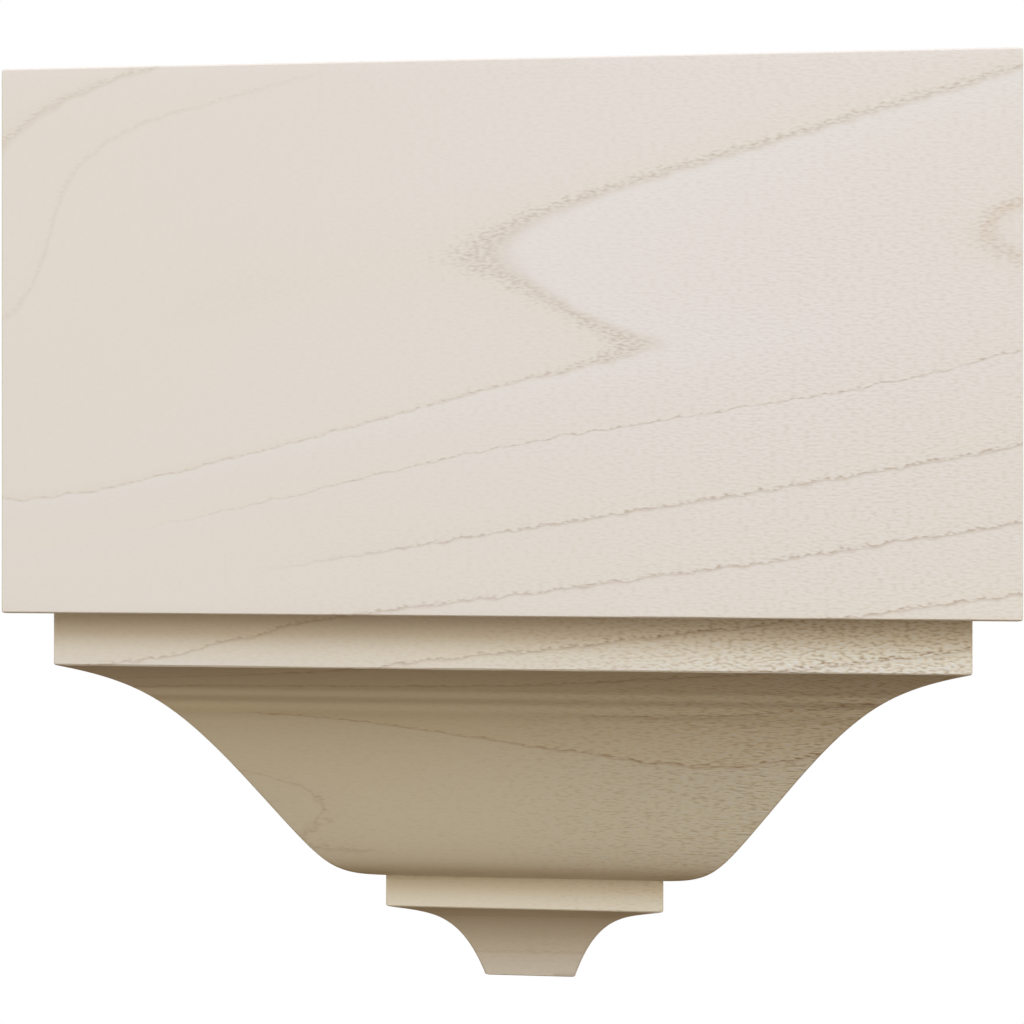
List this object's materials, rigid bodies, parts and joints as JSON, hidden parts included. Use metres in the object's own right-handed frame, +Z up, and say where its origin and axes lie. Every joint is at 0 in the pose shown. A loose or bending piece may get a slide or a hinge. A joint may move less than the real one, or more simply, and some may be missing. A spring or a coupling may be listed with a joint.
{
  "type": "crown moulding corner block",
  "caption": "Square maple block with a stepped, moulded drop below it, notched at the back to sit over an outside wall corner, where two runs of crown moulding butt against it under the ceiling",
  "frame": {"origin": "on the block's centre line, on the flat top that goes against the ceiling", "axes": "+Z up to the ceiling, -Y out of the front show face, +X out of the side show face; the corner of the two walls is behind and to the left"},
  "size_m": [0.1396, 0.1396, 0.1459],
  "materials": {
    "maple": "bare light maple, milled and finely sanded, no stain or varnish"
  },
  "bodies": {
    "root": {"corner_block": "maple"}
  },
  "joints": []
}
